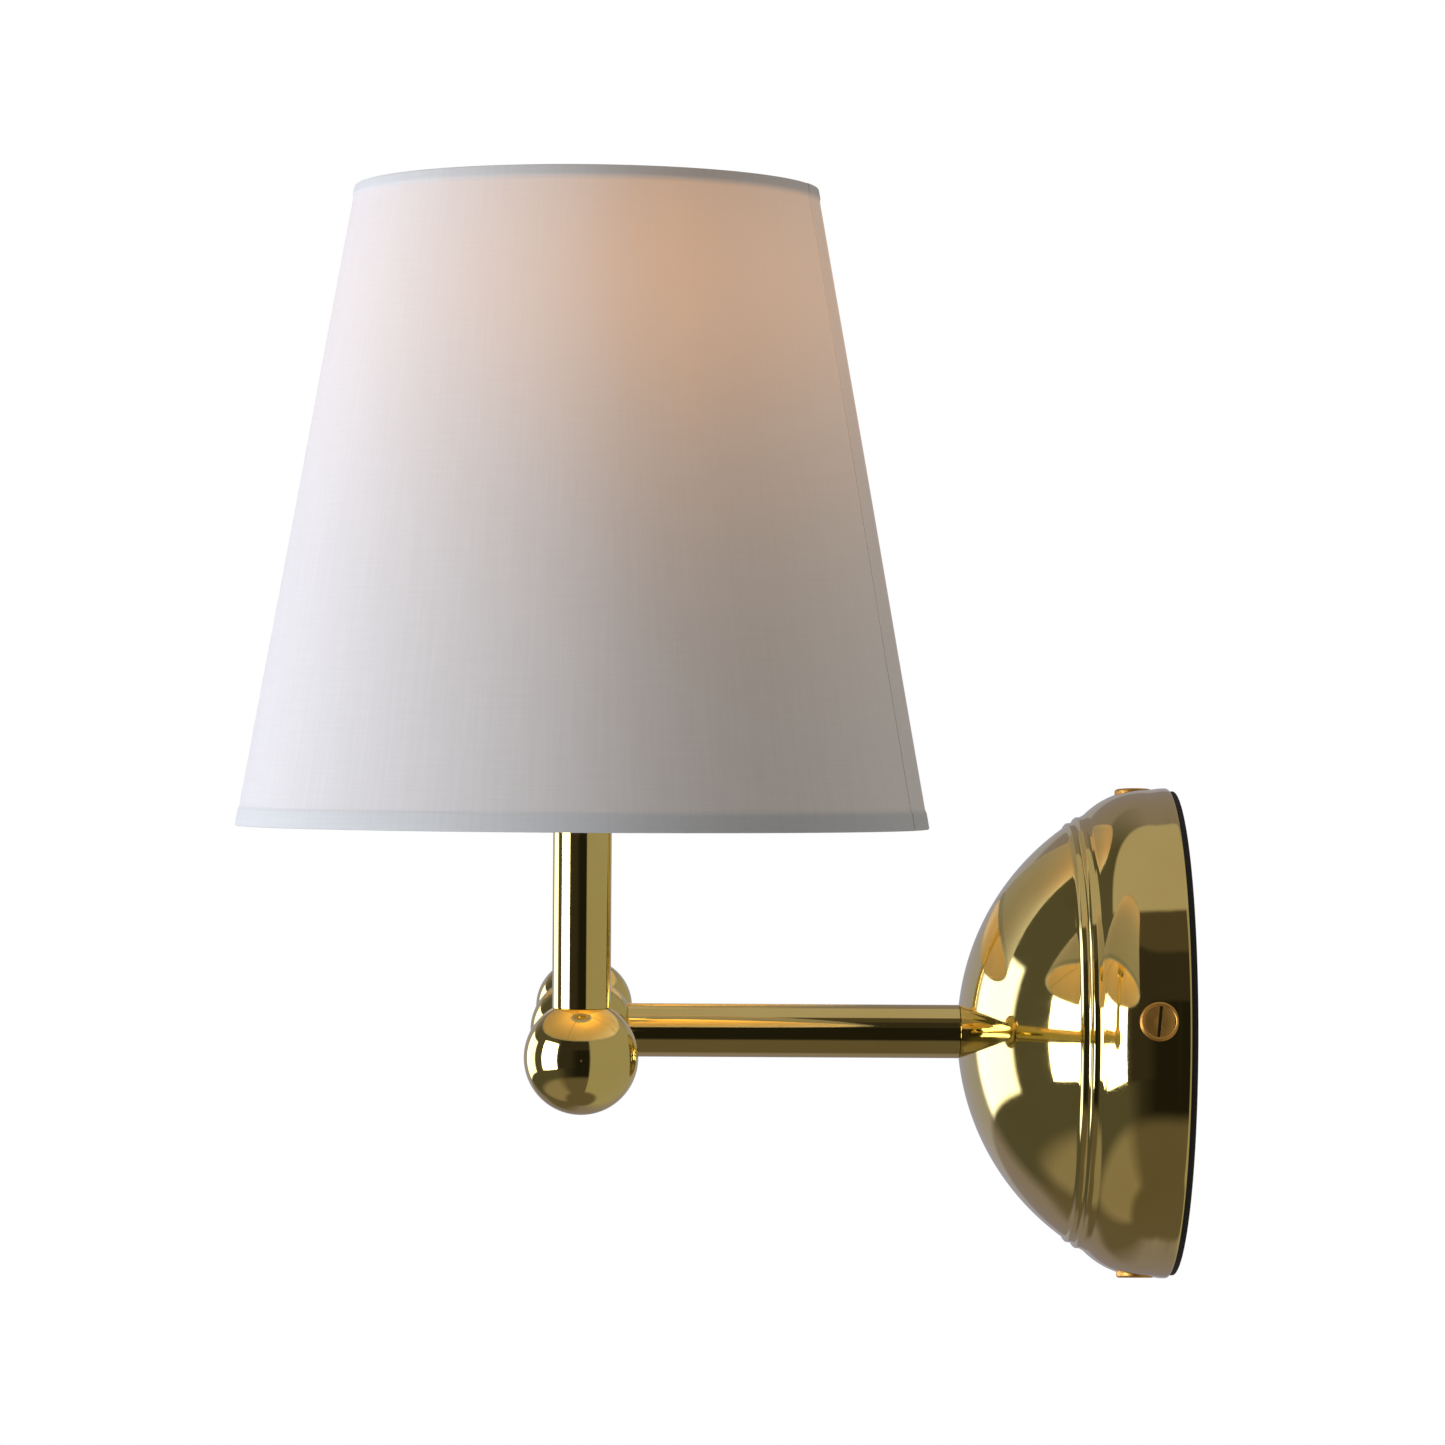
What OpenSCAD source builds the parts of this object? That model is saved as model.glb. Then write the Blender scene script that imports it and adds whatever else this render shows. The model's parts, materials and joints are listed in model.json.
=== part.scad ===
// Twin-light brass wall sconce with two side arms that swing in a centre ball.
// The origin is the centre of the wall face, on the axis of the arm.
// +Y points into the wall, +X to the right as seen from the room, +Z up.

/* [Wall cover] */
// Radius of the cover at its rim
cover_r = 59.2; // [58:0.1:60]
// Radius of the round cap that faces the room
cap_round = 61.3; // [61:0.1:62]
// Distance of the cap's centre behind the wall face
cap_back = 9; // [8.5:0.1:9.5]
// Radius of the shoulder between the cap and the skirt
shoulder_round = 20; // [19:0.5:21]
// Depth of the straight skirt, measured from the wall face
skirt_d = 7; // [6:0.5:8]
// Sheet thickness of the spun cover
cover_t = 1; // [0.8:0.1:1.2]
// Radius of each of the two raised beads
bead_r = 0.75; // [0.6:0.05:0.8]
// Thickness of the rubber gasket under the rim
gasket_t = 1.5; // [1:0.1:2]
// Distance of the cover screws from the wall face
screw_d = 9; // [8.5:0.1:9.5]
// Turn of the cover screws away from the level
screw_turn = 5.6; // [0:0.1:10]

/* [Wall fixing] */
// Radius of the wall bracket's disc
bracket_r = 50; // [48:0.5:51]
// Sheet thickness of the wall bracket
bracket_t = 1.6; // [1.5:0.1:2]
// Diameter of the circle that the wall screws stand on
wall_screw_pcd = 70; // [66:1:74]
// Radius of each wall screw hole
wall_screw_r = 2.25; // [2:0.05:2.5]
// Radius of the hole that the supply cable comes through
cable_r = 10; // [8:0.5:10]
// Height of the cable hole above the arm's axis
cable_z = 18; // [18:1:20]

/* [Arms] */
// Distance from the wall face to the axis of the side arms
arm_reach = 143.5; // [135:0.5:160]
// Distance from the centre ball to each end ball
arm_span = 114; // [110:0.5:130]
// Diameter of every ball
ball_d = 25.4; // [25:0.1:26]
// Outside diameter of every tube
tube_d = 13; // [12.7:0.1:13.2]
// Inside radius of every tube
tube_bore = 4.75; // [4.7:0.05:4.8]
// Radius of the threaded nipples and of the bores they screw into
thread_r = 5; // [5:0.05:5.1]
// Radius of the wire way through the threaded nipples
wire_way = 3.5; // [3.2:0.1:3.6]
// Running clearance, on the radius, of every pivot
pivot_fit = 0.05; // [0.03:0.01:0.08]
// Gap left between faces that turn on each other
face_gap = 0.3; // [0.3:0.05:0.4]

/* [Shade] */
// Outside radius of the shade at its top
shade_top_r = 51.2; // [50:0.1:53]
// Outside radius of the shade at its bottom
shade_bottom_r = 76.6; // [75:0.1:78]
// Height of the shade's bottom edge above the arm's axis
shade_z = 51.1; // [51:0.1:53]
// Height of the shade
shade_h = 141.4; // [140:0.1:143]
// Thickness of the cloth
cloth_t = 0.5; // [0.4:0.1:0.6]
// Thickness of the stiff lining behind the cloth
liner_t = 0.4; // [0.3:0.1:0.5]
// Radius of the wire of the shade's rings and struts
ring_wire_r = 1.25; // [1:0.05:1.3]

/* [Lamp] */
// Height of the top of the stem above the arm's axis
stem_top = 72; // [68:0.5:72.5]
// Outside radius of the lamp holder's threaded body
holder_r = 14; // [13.5:0.1:14]
// Radius of the bulb's screw cap
bulb_cap_r = 6.9; // [6.8:0.05:6.95]
// Largest radius of the bulb's glass
bulb_r = 17.5; // [17:0.1:18]
// Radius of the twin-core lead inside the arms
lead_r = 1.2; // [1:0.05:1.3]

/* [Hidden] */
SIDES = ["right", "left"];
SIDE_PARTS = ["side_tube", "pivot_bush", "end_nipple", "end_ball", "stem_nipple", "stem_tube",
    "holder_nipple", "holder_cap", "holder_body", "screw_shell", "centre_contact", "shade_ring",
    "shade_carrier", "shade_top_ring", "shade_liner", "shade_cloth", "bulb_glass", "bulb_cap",
    "filament", "lead"];
$fn = 96;
eps = 0.01;
brass = "#c9a646";
steel = "silver";
copper_thread = "#b08d3a";

// The cover: the shoulder's centre and far end, and the beads past it
shoulder_r = cover_r - shoulder_round;
shoulder_end_d = 21.1;
bead_depths = [25.6, 23.4];
bead_sunk = 0.15;
screw_hole_r = 2;
screw_head_r = 4.6;
screw_shoulder_r = 3.3;
// the screws' heads stand in the cover's holes and bottom on the bracket's lugs
screw_head_in = cover_t + 0.4;
lug_r = cover_r - cover_t - 2.6;
lug_w = 12;
lug_d = 15;

// Terminal block and earth screw on the wall bracket
block_w = 30;
block_h = 14;
block_t = 15;
block_z = -26;
terminal_pitch = 9;
terminal_r = 2.2;
earth_x = 30;
earth_screw_r = 2;

// Balls and tubes: a tube is seated where the ball is as wide as the tube
ball_r = ball_d / 2;
tube_r = tube_d / 2;
seat = sqrt(ball_r * ball_r - tube_r * tube_r);
thread_in = 5.5;
thread_l = 12;
arm_tube_l = arm_reach - seat - (cap_round - cap_back);
apex_d = cap_round - cap_back;
nut_stack_d = sqrt(pow(cap_round - cover_t, 2) - 81) - cap_back - face_gap;
arm_washer_t = 1;
arm_nut_t = 3;
arm_nipple_end_d = 41;

// Side-arm pivot: a shank in a bush, held by a nut on the shank's thinner end
pivot_shank_r = 3.5;
pivot_end_r = 3;
pivot_bore_r = 1.9;
pivot_bush_l = 10;
pivot_bush_x = seat + face_gap + 0.1;
pivot_washer_x = pivot_bush_x + pivot_bush_l + face_gap;
pivot_washer_t = 1.2;
pivot_nut_x = pivot_washer_x + pivot_washer_t;
pivot_nut_t = 4;
pivot_nut_r = 4.35;
lead_gap_x = 11.6;
lead_bend = 6;
lead_pair = 1.3;

// Lamp holder, from the stem upwards
holder_cap_r = 12.5;
holder_cap_h = 16;
holder_body_z = stem_top + holder_cap_h;
holder_body_h = 30;
holder_bore_r = 8;
holder_floor = 3;
spigot_r = 10.8;
flange_z = holder_body_z + 10;
flange_r = 17;
flange_t = 2;
fitter_z = flange_z + flange_t;
fitter_t = 1.4;
fitter_r = 20;
shade_ring_r = 18.5;
shade_ring_h = 5;
contact_z = holder_body_z + holder_floor;
cap_base_z = contact_z + 5;
glass_z = holder_body_z + holder_body_h;
glass_l = 73;
glass_t = 0.8;

// Shade: outside radius at a height, and the slope of its side
shade_top_z = shade_z + shade_h;
shade_slope = atan((shade_bottom_r - shade_top_r) / shade_h);
ring_inset = 1.6;
STRUT_ANGLES = [90, 210, 330];

function shade_r(z) = shade_bottom_r - (z - shade_z) * tan(shade_slope);
function wire_ring_r(z) =
    shade_r(z) - (cloth_t + liner_t + ring_wire_r) / cos(shade_slope) - 0.05;
// Radius of a candle bulb's glass at u, from 0 at its neck to 1 at its tip
function glass_r(u) =
    u < 0.36
    ? bulb_cap_r + (bulb_r - bulb_cap_r) * (1 - cos(180 * u / 0.36)) / 2
    : bulb_r * pow(max(0, cos(90 * (u - 0.36) / 0.64)), 0.72);

// Turns a shape built along +Z so that it runs along -Y, from the wall to the room
module to_room() {
    rotate([90, 0, 0]) children();
}

// Turns a shape built along +Z so that it runs along +X
module to_right() {
    rotate([0, 90, 0]) children();
}

// Places a side piece, built round the centre ball for the right side
module on_side(side) {
    translate([0, -arm_reach, 0])
        mirror([side == "left" ? 1 : 0, 0, 0])
            children();
}

module ring(outer, inner, h) {
    difference() {
        cylinder(r = outer, h = h);
        translate([0, 0, -eps]) cylinder(r = inner, h = h + 2 * eps);
    }
}

// ---------------------------------------------------------------- wall plate

// Half outline of the cover at depth t under its outer face: radius across, distance from wall up
module cover_outline(t) {
    intersection() {
        translate([0, -cap_back]) circle(r = cap_round - t);
        translate([0, shoulder_end_d]) square([cap_round, cap_round]);
    }
    intersection() {
        translate([shoulder_r, skirt_d]) circle(r = shoulder_round - t);
        translate([shoulder_r, skirt_d]) square([shoulder_round, shoulder_end_d - skirt_d]);
    }
    translate([0, skirt_d]) square([shoulder_r, shoulder_end_d - skirt_d]);
    square([cover_r - t, skirt_d]);
}

function cap_r_at(d) = sqrt(pow(cap_round, 2) - pow(d + cap_back, 2));

module dome_cover() {
    color(brass) to_room() difference() {
        union() {
            rotate_extrude() intersection() {
                cover_outline(0);
                translate([0, gasket_t]) square([cover_r + 1, apex_d]);
            }
            for (d = bead_depths)
                rotate_extrude() translate([cap_r_at(d) - bead_sunk, d]) circle(r = bead_r);
        }
        rotate_extrude() cover_outline(cover_t);
        translate([0, 0, apex_d - 8]) cylinder(r = thread_r + pivot_fit, h = 10);
        cover_screw_holes(screw_head_r + pivot_fit);
    }
}

// Holes for the four side screws, through the cover and into the bracket's lugs
module cover_screw_holes(r) {
    for (a = [0:90:270])
        rotate([0, 0, a + screw_turn])
            translate([lug_r - 4, 0, screw_d])
                to_right() cylinder(r = r, h = cover_r - lug_r + 6);
}

module cover_screws() {
    head_top = 0.3;
    bevel = 0.25;
    slot_w = 0.8;
    slot_d = 0.6;
    flat_r = screw_head_r - 1;
    color(brass) to_room() for (a = [0:90:270])
        rotate([0, 0, a + screw_turn]) translate([cover_r, 0, screw_d]) to_right()
            difference() {
                union() {
                    translate([0, 0, -7]) cylinder(r = screw_hole_r, h = 7);
                    translate([0, 0, lug_r - cover_r])
                        cylinder(r = screw_shoulder_r, h = cover_r - lug_r - screw_head_in + eps);
                    translate([0, 0, -screw_head_in])
                        cylinder(r = screw_head_r, h = screw_head_in + head_top - bevel);
                    translate([0, 0, head_top - bevel])
                        cylinder(r1 = screw_head_r, r2 = screw_head_r - bevel, h = bevel);
                }
                translate([0, 0, head_top - 0.2]) cylinder(r = flat_r, h = 1);
                translate([-slot_w / 2, -flat_r, head_top - slot_d]) cube([slot_w, 2 * flat_r, 1]);
            }
}

module gasket() {
    color("#202020") to_room() ring(cover_r - 0.3, lug_r + 0.4, gasket_t);
}

module wall_bracket() {
    color(steel) to_room() difference() {
        union() {
            cylinder(r = bracket_r, h = bracket_t);
            for (a = [0:90:270]) rotate([0, 0, a + screw_turn]) {
                translate([bracket_r - 4, -lug_w / 2, 0])
                    cube([lug_r - bracket_r + 4, lug_w, bracket_t]);
                translate([lug_r - bracket_t, -lug_w / 2, 0]) cube([bracket_t, lug_w, lug_d]);
            }
        }
        cover_screw_holes(screw_hole_r);
        for (a = [45:90:315]) rotate([0, 0, a])
            translate([wall_screw_pcd / 2, 0, -1]) cylinder(r = wall_screw_r, h = 5);
        // turned to the room, a height above the arm's axis is along +Y here
        translate([0, cable_z, -1]) cylinder(r = cable_r, h = 5);
        translate([earth_x, 0, -1]) cylinder(r = earth_screw_r, h = 5);
    }
}

module terminal_block() {
    color("ivory") translate([0, -bracket_t, block_z]) difference() {
        translate([-block_w / 2, -block_t, -block_h / 2]) cube([block_w, block_t, block_h]);
        for (i = [-1:1]) {
            translate([i * terminal_pitch, -block_t / 2 + 2, -block_h / 2 - 1])
                cylinder(r = 1.6, h = block_h + 2);
            for (k = [-1, 1]) translate([i * terminal_pitch, -block_t / 2 + 2, k * 4])
                to_room() cylinder(r = terminal_r, h = block_t);
        }
    }
}

module terminal_screws() {
    head_t = 2.5;
    color(copper_thread) translate([0, -bracket_t - block_t + 1, block_z])
        for (i = [-1:1], k = [-1, 1]) translate([i * terminal_pitch, 0, k * 4])
            rotate([-90, 0, 0]) difference() {
                union() {
                    cylinder(r = terminal_r, h = head_t);
                    cylinder(r = 1.4, h = 4);
                }
                translate([-terminal_r, -0.3, -eps]) cube([2 * terminal_r, 0.6, 1]);
            }
}

module earth_screw() {
    head_r = 3.6;
    color(brass) translate([earth_x, 0, 0]) to_room() difference() {
        union() {
            cylinder(r = earth_screw_r, h = bracket_t);
            translate([0, 0, bracket_t]) cylinder(r = 4.5, h = 0.8);
            translate([0, 0, bracket_t + 0.8]) cylinder(r = head_r, h = 2.2);
        }
        translate([-head_r, -0.4, bracket_t + 2]) cube([2 * head_r, 0.8, 2]);
    }
}

// The two leads from the arm's open end to the terminal block: back towards the wall, then down
module lead_tails() {
    start_d = arm_nipple_end_d - 2.6;
    bend = 8;
    turn_d = bracket_t + block_t / 2 - 2 + bend;
    color("black") for (x = [-lead_pair, lead_pair]) translate([x, 0, 0]) {
        translate([0, -turn_d, 0]) to_room() cylinder(r = lead_r, h = start_d - turn_d);
        translate([0, -turn_d, -bend]) rotate([0, -90, 0]) rotate_extrude(angle = 90)
            translate([bend, 0]) circle(r = lead_r);
        translate([0, bend - turn_d, block_z + block_h / 2])
            cylinder(r = lead_r, h = -bend - block_z - block_h / 2);
    }
}

// ------------------------------------------------------------- arm and balls

// A ball with a flat seat and a threaded bore along each direction in turns
module drilled_ball(turns) {
    difference() {
        rotate(turns[0]) sphere(r = ball_r);
        for (t = turns) rotate(t) {
            translate([0, 0, seat]) cylinder(r = ball_r, h = ball_r);
            translate([0, 0, thread_in]) cylinder(r = thread_r, h = ball_r);
        }
        // the wire ways: one from the first bore, right through where there is a third
        rotate(turns[0]) translate([0, 0, len(turns) > 2 ? -thread_in - 1 : 0])
            cylinder(r = wire_way, h = (len(turns) > 2 ? 2 : 1) * (thread_in + 1));
        rotate(turns[1]) cylinder(r = wire_way, h = thread_in + 1);
    }
}

// A tube from z = 0 to h, with a thread at each end that threads lists: 0 bottom, 1 top
module threaded_tube(h, threads) {
    difference() {
        cylinder(r = tube_r, h = h);
        translate([0, 0, -1]) cylinder(r = tube_bore, h = h + 2);
        for (t = threads)
            translate([0, 0, t == 0 ? -1 : h - thread_l]) cylinder(r = thread_r, h = thread_l + 1);
    }
}

module centre_ball() {
    color(brass) translate([0, -arm_reach, 0])
        drilled_ball([[0, 90, 0], [-90, 0, 0], [0, -90, 0]]);
}

module arm_tube() {
    color(brass) difference() {
        translate([0, -arm_reach + seat, 0]) rotate([-90, 0, 0])
            threaded_tube(arm_tube_l, [0, 1]);
        translate([0, cap_back, 0]) sphere(r = cap_round + face_gap);
    }
}

module ball_nipple() {
    color(copper_thread) translate([0, -arm_reach + thread_in, 0]) rotate([-90, 0, 0])
        ring(thread_r, wire_way, seat - thread_in + thread_l);
}

module arm_nipple() {
    tube_end_d = arm_reach - seat - arm_tube_l + thread_l;
    color(copper_thread) translate([0, -arm_nipple_end_d, 0]) to_room()
        ring(thread_r, wire_way, tube_end_d - arm_nipple_end_d);
}

module arm_washer() {
    color(steel) translate([0, -nut_stack_d + arm_washer_t, 0]) to_room()
        ring(9, thread_r, arm_washer_t);
}

module arm_nut() {
    color(brass) translate([0, -nut_stack_d + arm_washer_t + arm_nut_t, 0]) to_room()
        difference() {
            cylinder(r = 8, h = arm_nut_t, $fn = 6);
            translate([0, 0, -1]) cylinder(r = thread_r, h = arm_nut_t + 2);
        }
}

module pivot_nipples() {
    color(copper_thread) for (side = SIDES) on_side(side) to_right() difference() {
        union() {
            translate([0, 0, thread_in]) cylinder(r = thread_r, h = seat - thread_in);
            translate([0, 0, seat]) cylinder(r = pivot_shank_r, h = pivot_nut_x - seat);
            translate([0, 0, pivot_nut_x]) cylinder(r = pivot_end_r, h = pivot_nut_t + 1.5);
        }
        translate([0, 0, thread_in - 1]) cylinder(r = pivot_bore_r, h = 40);
    }
}

module pivot_washers() {
    color(steel) for (side = SIDES) on_side(side)
        translate([pivot_washer_x, 0, 0]) to_right()
            ring(pivot_nut_r, pivot_shank_r, pivot_washer_t);
}

module pivot_nuts() {
    color(brass) for (side = SIDES) on_side(side)
        translate([pivot_nut_x, 0, 0]) to_right() difference() {
            ring(pivot_nut_r, pivot_end_r, pivot_nut_t);
            translate([-pivot_nut_r, -0.5, pivot_nut_t - 1.2]) cube([2 * pivot_nut_r, 1, 2]);
        }
}

// The two leads, from inside each pivot, round into the arm tube and on to the cover
module arm_leads() {
    bend_x = lead_pair + lead_bend;
    color("black") for (side = SIDES) on_side(side) {
        translate([bend_x, 0, 0]) to_right() cylinder(r = lead_r, h = lead_gap_x - bend_x);
        translate([bend_x, lead_bend, 0]) rotate([0, 0, 180]) rotate_extrude(angle = 90)
            translate([lead_bend, 0]) circle(r = lead_r);
        translate([lead_pair, lead_bend, 0]) rotate([-90, 0, 0])
            cylinder(r = lead_r, h = arm_reach - lead_bend - arm_nipple_end_d + 1.6);
    }
}

// ------------------------------------------------------------------ side arm

module side_tube() {
    start = seat + face_gap;
    color(brass) translate([start, 0, 0]) to_right()
        threaded_tube(arm_span - seat - start, [1]);
}

module pivot_bush() {
    color("#b87333") translate([pivot_bush_x, 0, 0]) to_right()
        ring(tube_bore, pivot_shank_r + pivot_fit, pivot_bush_l);
}

module end_nipple() {
    color(copper_thread) translate([arm_span - seat - thread_l, 0, 0]) to_right()
        ring(thread_r, wire_way, seat - thread_in + thread_l);
}

module end_ball() {
    color(brass) translate([arm_span, 0, 0]) drilled_ball([[0, -90, 0], [0, 0, 0]]);
}

module stem_nipple() {
    color(copper_thread) translate([arm_span, 0, thread_in])
        ring(thread_r, wire_way, seat - thread_in + thread_l);
}

module stem_tube() {
    color(brass) translate([arm_span, 0, seat]) threaded_tube(stem_top - seat, [0, 1]);
}

module holder_nipple() {
    color(copper_thread) translate([arm_span, 0, stem_top - thread_l])
        ring(thread_r, wire_way, thread_l + 3.5);
}

module lead() {
    bend = 5;
    color("black") {
        translate([lead_gap_x + 0.6, 0, 0]) to_right()
            cylinder(r = lead_r, h = arm_span - bend - lead_gap_x - 0.6);
        translate([arm_span - bend, 0, bend]) rotate([90, 0, 0]) rotate([0, 0, -90])
            rotate_extrude(angle = 90) translate([bend, 0]) circle(r = lead_r);
        translate([arm_span, 0, bend]) cylinder(r = lead_r, h = holder_body_z - 7 - bend);
    }
}

// --------------------------------------------------------------- lamp holder

module holder_cap() {
    taper = 4;
    color(brass) translate([arm_span, 0, stem_top]) difference() {
        union() {
            cylinder(r1 = tube_r + 2, r2 = holder_cap_r, h = taper);
            translate([0, 0, taper]) cylinder(r = holder_cap_r, h = holder_cap_h - taper);
        }
        translate([0, 0, -1]) cylinder(r = thread_r, h = taper + 2);
        translate([0, 0, taper]) cylinder(r = spigot_r, h = holder_cap_h);
    }
}

module holder_body() {
    color("ivory") translate([arm_span, 0, holder_body_z]) difference() {
        union() {
            translate([0, 0, -6]) cylinder(r = spigot_r, h = 6 + eps);
            cylinder(r = holder_r, h = holder_body_h);
            translate([0, 0, flange_z - holder_body_z]) cylinder(r = flange_r, h = flange_t);
        }
        translate([0, 0, holder_floor]) cylinder(r = holder_bore_r, h = holder_body_h);
        translate([0, 0, -7]) cylinder(r = 1.5, h = 12);
    }
}

module screw_shell() {
    color(brass) translate([arm_span, 0, contact_z + 6])
        ring(holder_bore_r, bulb_cap_r + 0.1, holder_body_h - 14);
}

module centre_contact() {
    color(copper_thread) translate([arm_span, 0, contact_z - holder_floor - 6]) {
        cylinder(r = 1.5, h = holder_floor + 6);
        translate([0, 0, holder_floor + 6]) cylinder(r = 3.4, h = 0.6);
        translate([0, 0, holder_floor + 6.6]) cylinder(r1 = 2.6, r2 = 1.6, h = 1.2);
    }
}

module shade_ring() {
    grips = 24;
    color("ivory") translate([arm_span, 0, fitter_z + fitter_t]) difference() {
        ring(shade_ring_r, holder_r, shade_ring_h);
        for (i = [1:grips]) rotate([0, 0, i * 360 / grips])
            translate([shade_ring_r + 0.3, 0, -1]) cylinder(r = 0.8, h = shade_ring_h + 2);
    }
}

// --------------------------------------------------------------------- shade

module wire_ring(z) {
    translate([0, 0, z]) rotate_extrude() translate([wire_ring_r(z), 0]) circle(r = ring_wire_r);
}

// The bottom ring, with three struts up to the flat ring that the lamp holder carries
module shade_carrier() {
    low_z = shade_z + ring_inset;
    low_r = wire_ring_r(low_z);
    high_z = fitter_z + fitter_t / 2;
    high_r = fitter_r - 1.5;
    strut_l = norm([low_r - high_r, high_z - low_z]);
    lean = atan2(low_r - high_r, high_z - low_z);
    color("white") translate([arm_span, 0, 0]) {
        wire_ring(low_z);
        translate([0, 0, fitter_z]) ring(fitter_r, holder_r + 0.4, fitter_t);
        for (a = STRUT_ANGLES) rotate([0, 0, a]) translate([low_r, 0, low_z])
            rotate([0, -lean, 0]) cylinder(r = ring_wire_r - 0.15, h = strut_l);
    }
}

module shade_top_ring() {
    color("white") translate([arm_span, 0, 0]) wire_ring(shade_top_z - ring_inset);
}

// A conical skin between two depths under the shade's outer face
module shade_skin(outer_t, inner_t) {
    translate([arm_span, 0, shade_z]) difference() {
        cylinder(r1 = shade_bottom_r - outer_t, r2 = shade_top_r - outer_t, h = shade_h);
        // carried 1 mm past both edges along the same slope
        translate([0, 0, -1]) cylinder(
            r1 = shade_bottom_r - inner_t + tan(shade_slope),
            r2 = shade_top_r - inner_t - tan(shade_slope),
            h = shade_h + 2
        );
    }
}

module shade_liner() {
    color("white") shade_skin(cloth_t, cloth_t + liner_t);
}

module shade_cloth() {
    color("#f2eee8") shade_skin(0, cloth_t);
}

// ---------------------------------------------------------------------- bulb

module bulb_glass() {
    steps = 26;
    color("white", 0.5) translate([arm_span, 0, glass_z]) rotate_extrude() difference() {
        polygon(concat(
            [for (i = [0:steps]) [glass_r(i / steps), glass_l * i / steps]],
            [[0, glass_l], [0, 0]]
        ));
        polygon(concat(
            [for (i = [0:steps - 1]) [max(0.4, glass_r(i / steps) - glass_t), glass_l * i / steps]],
            [[0, glass_l - 3 * glass_t], [0, 0]]
        ));
    }
}

module bulb_cap() {
    color(steel) translate([arm_span, 0, 0]) {
        translate([0, 0, cap_base_z]) cylinder(r = bulb_cap_r, h = glass_z - cap_base_z);
        translate([0, 0, cap_base_z - 3])
            cylinder(r1 = 4, r2 = bulb_cap_r, h = 3 + eps);
        translate([0, 0, contact_z + 1.8]) cylinder(r = 1.5, h = 0.3);
    }
}

// Four glowing rods round a glass post, on a foot in the bulb's neck
module filament() {
    foot_h = 8;
    rod_l = 34;
    color("#ffcf80") translate([arm_span, 0, glass_z]) {
        cylinder(r1 = 5.5, r2 = 2, h = foot_h);
        translate([0, 0, foot_h]) cylinder(r = 1.6, h = rod_l + 2);
        for (a = [0:90:270]) rotate([0, 0, a]) {
            translate([1.2, -0.3, foot_h + rod_l / 2 - 15]) cube([5, 0.6, 0.6]);
            translate([1.2, -0.3, foot_h + rod_l / 2 + 15]) cube([5, 0.6, 0.6]);
            translate([6, 0, foot_h + 1]) cylinder(r = 0.9, h = rod_l);
        }
    }
}

// ------------------------------------------------------------------- drawing

wall_bracket();
gasket();
dome_cover();
cover_screws();
terminal_block();
terminal_screws();
earth_screw();
lead_tails();
arm_tube();
arm_nipple();
arm_washer();
arm_nut();
ball_nipple();
centre_ball();
pivot_nipples();
pivot_washers();
pivot_nuts();
arm_leads();
for (side = SIDES) {
    on_side(side) side_tube();
    on_side(side) pivot_bush();
    on_side(side) end_nipple();
    on_side(side) end_ball();
    on_side(side) stem_nipple();
    on_side(side) stem_tube();
    on_side(side) holder_nipple();
    on_side(side) holder_cap();
    on_side(side) holder_body();
    on_side(side) screw_shell();
    on_side(side) centre_contact();
    on_side(side) shade_ring();
    on_side(side) shade_carrier();
    on_side(side) shade_top_ring();
    on_side(side) shade_liner();
    on_side(side) shade_cloth();
    on_side(side) bulb_glass();
    on_side(side) bulb_cap();
    on_side(side) filament();
    on_side(side) lead();
}
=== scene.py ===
"""Twin-light brass wall sconce: its visible pieces, materials, light and camera.

Lengths are in metres. The origin is the centre of the wall face, on the arm's axis:
+Y goes into the wall, +X to the right as seen from the room, and +Z up.
"""
import json
import math

import bmesh
import bpy
from mathutils import Matrix, Vector


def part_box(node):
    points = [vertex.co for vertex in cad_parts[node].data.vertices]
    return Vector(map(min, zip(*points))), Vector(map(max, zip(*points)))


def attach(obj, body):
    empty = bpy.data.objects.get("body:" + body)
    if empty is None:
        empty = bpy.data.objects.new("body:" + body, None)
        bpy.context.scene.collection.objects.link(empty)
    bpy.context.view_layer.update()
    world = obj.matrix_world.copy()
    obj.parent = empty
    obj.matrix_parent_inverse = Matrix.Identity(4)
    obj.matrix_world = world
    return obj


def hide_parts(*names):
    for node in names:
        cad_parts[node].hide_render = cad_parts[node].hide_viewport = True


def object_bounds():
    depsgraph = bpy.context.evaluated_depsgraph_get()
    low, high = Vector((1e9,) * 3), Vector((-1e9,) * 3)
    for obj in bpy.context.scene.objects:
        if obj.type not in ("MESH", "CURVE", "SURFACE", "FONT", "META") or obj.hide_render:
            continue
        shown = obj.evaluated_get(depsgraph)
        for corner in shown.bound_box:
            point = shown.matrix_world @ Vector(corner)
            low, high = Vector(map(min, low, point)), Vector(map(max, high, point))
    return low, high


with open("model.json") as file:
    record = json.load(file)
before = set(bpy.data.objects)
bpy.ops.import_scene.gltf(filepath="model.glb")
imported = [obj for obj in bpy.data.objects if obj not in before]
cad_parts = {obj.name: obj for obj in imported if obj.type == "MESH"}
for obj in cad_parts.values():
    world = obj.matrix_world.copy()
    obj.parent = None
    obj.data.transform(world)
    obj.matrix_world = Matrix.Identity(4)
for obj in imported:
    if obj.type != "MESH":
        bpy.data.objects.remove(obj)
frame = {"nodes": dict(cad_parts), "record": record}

cad_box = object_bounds()
scene = bpy.context.scene

MM = 0.001
SIDES = ("right", "left")
SMOOTH_ANGLE = math.radians(32)

# Columns round a turned piece
COVER_COLUMNS = 256
TUBE_COLUMNS = 128
SMALL_COLUMNS = 96
SHADE_COLUMNS = 240

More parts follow.
